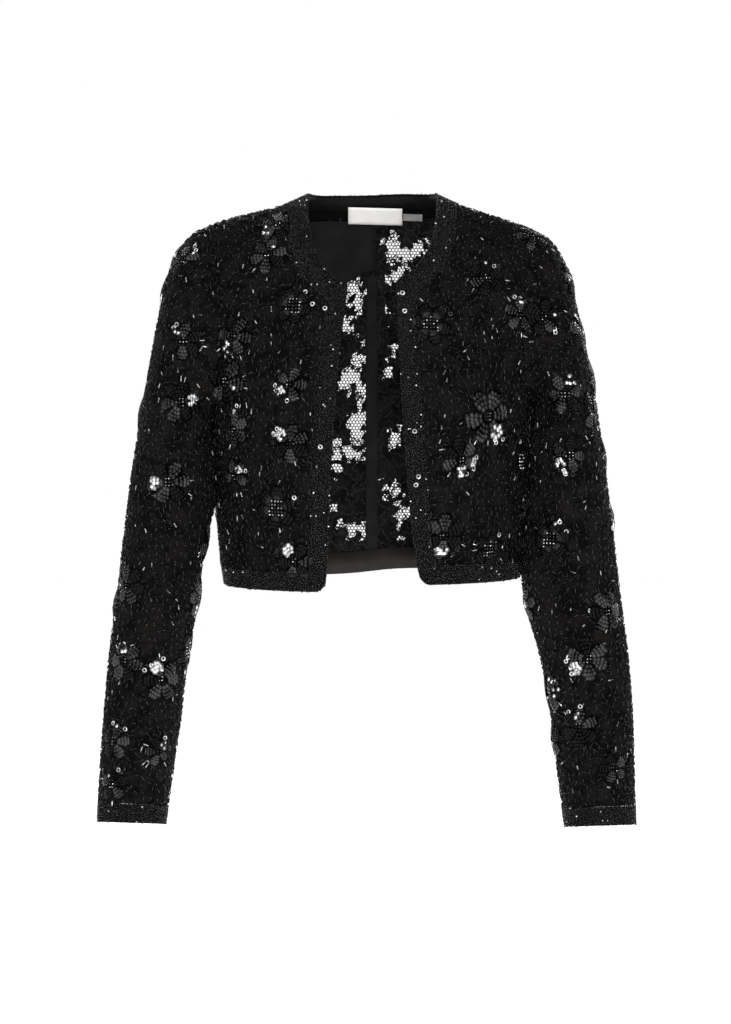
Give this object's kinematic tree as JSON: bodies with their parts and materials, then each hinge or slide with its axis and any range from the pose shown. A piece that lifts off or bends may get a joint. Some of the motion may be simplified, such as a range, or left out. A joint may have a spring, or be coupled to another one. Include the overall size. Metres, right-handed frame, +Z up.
{
  "type": "cropped jacket",
  "caption": "Cropped evening jacket with long sleeves and an open front, in embroidered lace with beaded edge bands, filled out as if worn.",
  "frame": {"origin": "midway between the two points where the shoulder seams meet the neck band's inner edge, where the worn jacket is carried", "axes": "+Z up, the open front faces -Y, +X is the wearer's left"},
  "size_m": [0.5415, 0.2206, 0.6421],
  "materials": {
    "lace": "matt black embroidered lace",
    "beaded_band": "black cloth closely covered in small glass beads",
    "dark_lining": "smooth black lining",
    "satin_facing": "brownish black satin",
    "white_label": "white woven tape",
    "grey_tab": "grey woven tape"
  },
  "bodies": {
    "root": {"front_right": "lace", "front_left": "lace", "back_right": "lace", "back_left": "lace", "sleeve_right": "lace", "sleeve_left": "lace", "neck_band_right": "beaded_band", "neck_band_left": "beaded_band", "neck_band_back": "beaded_band", "front_band_right": "beaded_band", "front_band_left": "beaded_band", "hem_band_right": "beaded_band", "hem_band_left": "beaded_band", "hem_band_back": "beaded_band", "cuff_band_right": "beaded_band", "cuff_band_left": "beaded_band", "neck_facing": "dark_lining", "yoke_lining": "dark_lining", "back_seam_strip": "dark_lining", "hem_facing": "satin_facing", "label": "white_label", "size_tab": "grey_tab"}
  },
  "joints": []
}
